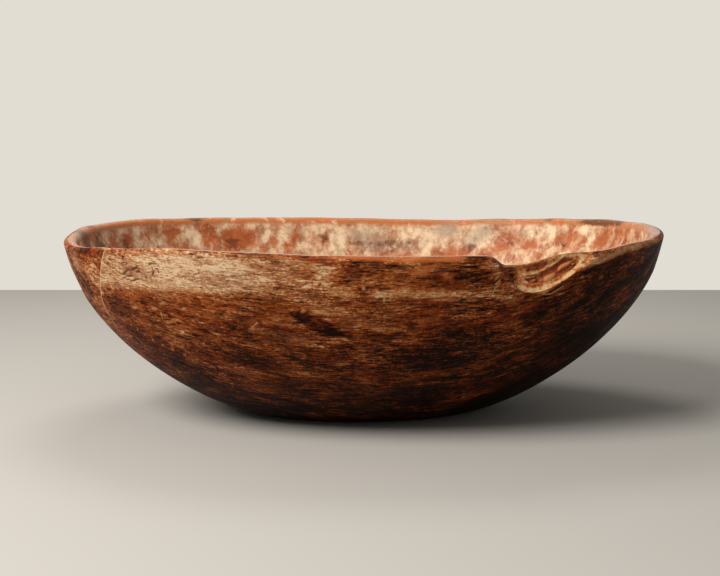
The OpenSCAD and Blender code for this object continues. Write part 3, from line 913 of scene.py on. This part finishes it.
    relief = fibre.centred(.9) + streak.centred(1.0) + speck.centred(-.4)
    relief = relief + painted * inside * .5 + split_fibre.centred(3) * face
    bump = f.node("ShaderNodeBump", {"Strength": .55, "Distance": .0006, "Height": relief})
    sheen = streak.centred(.5) + .56 + grime.centred(.35) - inside * .12 - lip_share * .34
    f.coat(colour, f.maths("ADD", sheen, face * .2, clamp=True), bump, shine)
    return material


def plain_paper(name, colour, scale):
    """A matt studio surface with a faint mottle."""
    material = bpy.data.materials.new(name)
    f = Nodes(material, "ShaderNodeOutputMaterial")
    mottle = f.noise(f.node("ShaderNodeTexCoord", output="Object"), scale, 4, .6)
    shade = f.mix(mottle * .06, colour, (.55, .5, .45))
    bump = f.node("ShaderNodeBump", {"Strength": .05, "Distance": .001, "Height": mottle})
    f.coat(shade, .85, bump, .25)
    return material


def length_size(name, default, low, high, words):
    return FloatProperty(name=name, description=words, default=default, min=low, max=high, unit="LENGTH", precision=4)


def colour_choice(name, rgb, words):
    """A colour written as 0 to 255, kept as a linear colour."""
    linear = [v / 255 / 12.92 if v <= 10 else ((v / 255 + .055) / 1.055) ** 2.4 for v in rgb]
    return FloatVectorProperty(name=name, description=words, default=linear, min=0, max=1, size=3, subtype="COLOR")


class BowlSizes(PropertyGroup):
    """Sizes of the carved bowl."""
    length: length_size("Length", .498, .38, .70, "Length of the bowl at its rim")
    width: length_size("Width", .382, .29, .54, "Width of the bowl at its rim")
    height: length_size("Height", .150, .11, .21, "Height of the bowl at the mean rim line")
    base_length: length_size("Foot length", .180, .12, .26, "Length of the flat foot")
    base_width: length_size("Foot width", .112, .08, .17, "Width of the flat foot")
    rim_thickness: length_size("Rim thickness", .011, .007, .018, "Thickness of the wall at the rim")
    floor_thickness: length_size("Floor thickness", .016, .01, .03, "Thickness of the floor at its middle")
    floor_length: length_size("Floor length", .090, .05, .14, "Length of the flat floor of the hollow")
    floor_width: length_size("Floor width", .060, .03, .10, "Width of the flat floor of the hollow")
    outer_round: length_size("Outer rounding", .003, .001, .005, "Rounding of the rim's outer edge")
    inner_round: length_size("Inner rounding", .0045, .001, .006, "Rounding of the rim's inner edge")
    rim_warp: length_size("Rim warp", .0055, 0, .009, "How far the rim line rises and falls")
    band_sides: length_size("Band at the sides", .029, .02, .04, "Height of the flatter band under the rim")
    band_right: length_size("Band at the right end", .033, .02, .06, "Height of the flatter band at the right end")
    band_left: length_size("Band at the left end", .047, .02, .06, "Height of the flatter band at the left end")
    dip_start: FloatProperty(name="Dip start", description="Turn at which the worn dip starts, in degrees",
                             default=290.5, min=280, max=300)
    dip_span: FloatProperty(name="Dip span", description="Angle that the worn dip covers, in degrees",
                            default=28.5, min=20, max=36)
    dip_outer_drop: length_size("Outer drop", .027, .01, .035, "Drop of the rim's outer edge at the dip")
    dip_inner_drop: length_size("Inner drop", .0075, .002, .012, "Drop of the rim's inner edge at the dip")
    dip_hollow: length_size("Dip hollow", .002, 0, .003, "How far the worn face of the dip is hollowed")
    split_width: length_size("Split width", .0006, .0002, .0012, "Width of the drying split at the rim")
    split_offset: length_size("Split offset", .115, .10, .13, "How far the split has moved sideways at the rim")
    heart_depth: length_size("Heart depth", .013, .005, .03, "Depth of the log's heart below the foot")


class BowlColours(PropertyGroup):
    """Colours of the wood and of the paint that is left."""
    # Bare wood also paints the highlights along the front rim's edges and the split's right lip.
    bare: colour_choice("Bare wood", (208, 178, 142), "Palest wood, where all paint is gone")
    tan: colour_choice("Tan wood", (183, 135, 88), "Handled wood")
    orange_brown: colour_choice("Orange brown", (155, 84, 39), "Wood with thin old paint")
    red_brown: colour_choice("Red brown", (116, 51, 14), "Wood with more old paint")
    # Dark brown and near black also serve as painted shade, towards the foot and the right end and inside the split.
    dark_brown: colour_choice("Dark brown", (62, 24, 4), "Dirt and old varnish")
    black: colour_choice("Near black", (17, 5, 0), "Grooves and cracks")
    paint: colour_choice("Orange paint", (200, 108, 56), "Old orange-red paint")
    red_paint: colour_choice("Red paint", (160, 78, 38), "Darker coat of the same paint")
    cream: colour_choice("Cream", (250, 222, 182), "Cream layer under the paint of the hollow")
    dust: colour_choice("Rubbed wood", (156, 110, 76), "Patches rubbed dull outside")
    rust: colour_choice("Rust tint", (238, 168, 132), "Tint of the redder patches outside")
    # Grey wear also paints the reflection along the front rim's top.
    grey: colour_choice("Grey wear", (168, 142, 120), "Worn and dusty places of the hollow")
    weathered: colour_choice("Weathered wood", (178, 134, 98), "Sun-bleached wood with a little stain left")
    # Groove brown also paints the shade at the inner left end of the hollow.
    groove: colour_choice("Groove brown", (92, 50, 30), "Dirt in the grooves of the bleached wood")
    fresh: colour_choice("Fresh wood", (224, 180, 130), "Wood laid bare along the dip's lip")
    torn: colour_choice("Torn wood", (144, 66, 41), "Red-brown wood where the dip tore out")
    heart_depth: length_size("Ring centre", .013, .005, .03, "Depth of the middle of the growth rings below the foot")


class StudioSettings(PropertyGroup):
    """Floor, backdrop, lamps and camera."""
    floor: colour_choice("Floor", (190, 185, 177), "Colour of the floor")
    paper: colour_choice("Backdrop", (226, 221, 211), "Colour of the paper behind")
    floor_depth: length_size("Floor depth", 1.973, 1.2, 4, "Distance from the camera to the floor's far edge")
    key_power: FloatProperty(name="Key lamp", description="Power of the large lamp, in watts",
                             default=34, min=0, max=200, unit="POWER")
    rim_power: FloatProperty(name="Rim lamp", description="Power of the lamp behind the bowl, in watts",
                             default=4, min=0, max=200, unit="POWER")
    world_strength: FloatProperty(name="Sky", description="Strength of the even light all round",
                                  default=.21, min=0, max=2)
    lens: FloatProperty(name="Lens", description="Focal length of the camera",
                        default=70, min=20, max=200, unit="CAMERA")


class DOUGH_BOWL_OT_bowl(Operator):
    """Carve the bowl and finish it"""
    bl_idname = "dough_bowl.bowl"
    bl_label = "Carved Bowl"

    def execute(self, context):
        scene = context.scene
        skin = BowlSkin(scene.dough_bowl_sizes)
        mesh = skin.build("worn_bowl")
        if not mesh.polygons:
            raise RuntimeError("the bowl's mesh is empty")
        bowl = bpy.data.objects.new("worn_bowl", mesh)
        scene.collection.objects.link(bowl)
        mesh.materials.append(painted_wood(scene.dough_bowl_colours, "stained_wood_and_painted_light", .06))
        mesh.materials.append(painted_wood(scene.dough_bowl_colours, "worn_paint_and_painted_light", .13))
        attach(bowl, BODY)
        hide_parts(NODE)
        return {"FINISHED"}


class DOUGH_BOWL_OT_studio(Operator):
    """Set up the floor, the backdrop, the lamps and the camera"""
    bl_idname = "dough_bowl.studio"
    bl_label = "Studio"

    def execute(self, context):
        scene, s = context.scene, context.scene.dough_bowl_studio
        eye, heading, pitch = Vector(EYE), Vector(HEADING), math.radians(PITCH)
        camera = bpy.data.objects.new("camera", bpy.data.cameras.new("camera"))
        camera.data.lens, camera.data.sensor_width = s.lens, SENSOR_WIDTH
        camera.location = eye
        look = heading * math.cos(pitch) - Vector((0, 0, math.sin(pitch)))
        camera.rotation_euler = look.to_track_quat("-Z", "Y").to_euler()
        scene.collection.objects.link(camera)
        scene.camera = camera

        side = Vector((heading.y, -heading.x, 0)) * FLOOR_HALF_WIDTH
        back = Vector((eye.x, eye.y, 0)) + heading * s.floor_depth
        front = back - heading * FLOOR_LENGTH
        self.sheet("studio_floor", [front - side, front + side, back + side, back - side],
                   plain_paper("floor_paper", s.floor, 6))

        self.lamp("key_lamp", Vector((-1.05, -.85, 1.15)), .9, s.key_power)
        self.lamp("rim_lamp", Vector((-.1, .62, 1.1)), .5, s.rim_power)
        scene.world = self.backdrop(s)
        scene.view_settings.view_transform = "Standard"
        return {"FINISHED"}

    def backdrop(self, s):
        """Pale paper all round to the eye and in reflections, and a faint even light on everything."""
        world = bpy.data.worlds.new("studio_world")
        f = Nodes(world, "ShaderNodeOutputWorld")
        light = f.node("ShaderNodeBackground", {"Color": (1, .99, .97), "Strength": s.world_strength})
        paper = f.node("ShaderNodeBackground", {"Color": s.paper})
        eye, mirror, glass = (f.node("ShaderNodeLightPath", output=f"Is {kind} Ray")
                              for kind in ("Camera", "Glossy", "Transmission"))
        seen = f.maths("MAXIMUM", f.maths("MAXIMUM", eye, mirror), glass)
        f.put(f.output.inputs["Surface"], f.node("ShaderNodeMixShader", {0: seen, 1: light, 2: paper}))
        return world

    def sheet(self, name, corners, material):
        mesh = bpy.data.meshes.new(name)
        mesh.from_pydata(corners, [], [(0, 1, 2, 3)])
        made = bpy.data.objects.new(name, mesh)
        bpy.context.scene.collection.objects.link(made)
        mesh.materials.append(material)

    def lamp(self, name, place, size, power):
        light = bpy.data.lights.new(name, "AREA")
        light.shape, light.size, light.energy = "DISK", size, power
        light.color = LAMP_COLOUR
        made = bpy.data.objects.new(name, light)
        made.location = place
        made.rotation_euler = (Vector(LAMP_AIM) - place).to_track_quat("-Z", "Y").to_euler()
        bpy.context.scene.collection.objects.link(made)


class DOUGH_BOWL_PT_panel(Panel):
    """Lists the bowl's sizes, colours and steps"""
    bl_idname = "DOUGH_BOWL_PT_panel"
    bl_label = "Dough Bowl"
    bl_space_type = "VIEW_3D"
    bl_region_type = "UI"
    bl_category = "Dough Bowl"

    def draw(self, context):
        layout, scene = self.layout, context.scene
        for words, group in (("Sizes", scene.dough_bowl_sizes), ("Colours", scene.dough_bowl_colours),
                             ("Studio", scene.dough_bowl_studio)):
            box = layout.box()
            box.label(text=words)
            for key in type(group).__annotations__:
                box.prop(group, key)
        layout.operator(DOUGH_BOWL_OT_bowl.bl_idname)
        layout.operator(DOUGH_BOWL_OT_studio.bl_idname)


CLASSES = (BowlSizes, BowlColours, StudioSettings, DOUGH_BOWL_OT_bowl, DOUGH_BOWL_OT_studio, DOUGH_BOWL_PT_panel)


def register():
    for cls in CLASSES:
        bpy.utils.register_class(cls)
    bpy.types.Scene.dough_bowl_sizes = PointerProperty(type=BowlSizes)
    bpy.types.Scene.dough_bowl_colours = PointerProperty(type=BowlColours)
    bpy.types.Scene.dough_bowl_studio = PointerProperty(type=StudioSettings)


def unregister():
    del bpy.types.Scene.dough_bowl_studio
    del bpy.types.Scene.dough_bowl_colours
    del bpy.types.Scene.dough_bowl_sizes
    for cls in reversed(CLASSES):
        bpy.utils.unregister_class(cls)


def main():
    register()
    bpy.ops.dough_bowl.studio()
    bpy.ops.dough_bowl.bowl()


if __name__ == "__main__":
    main()
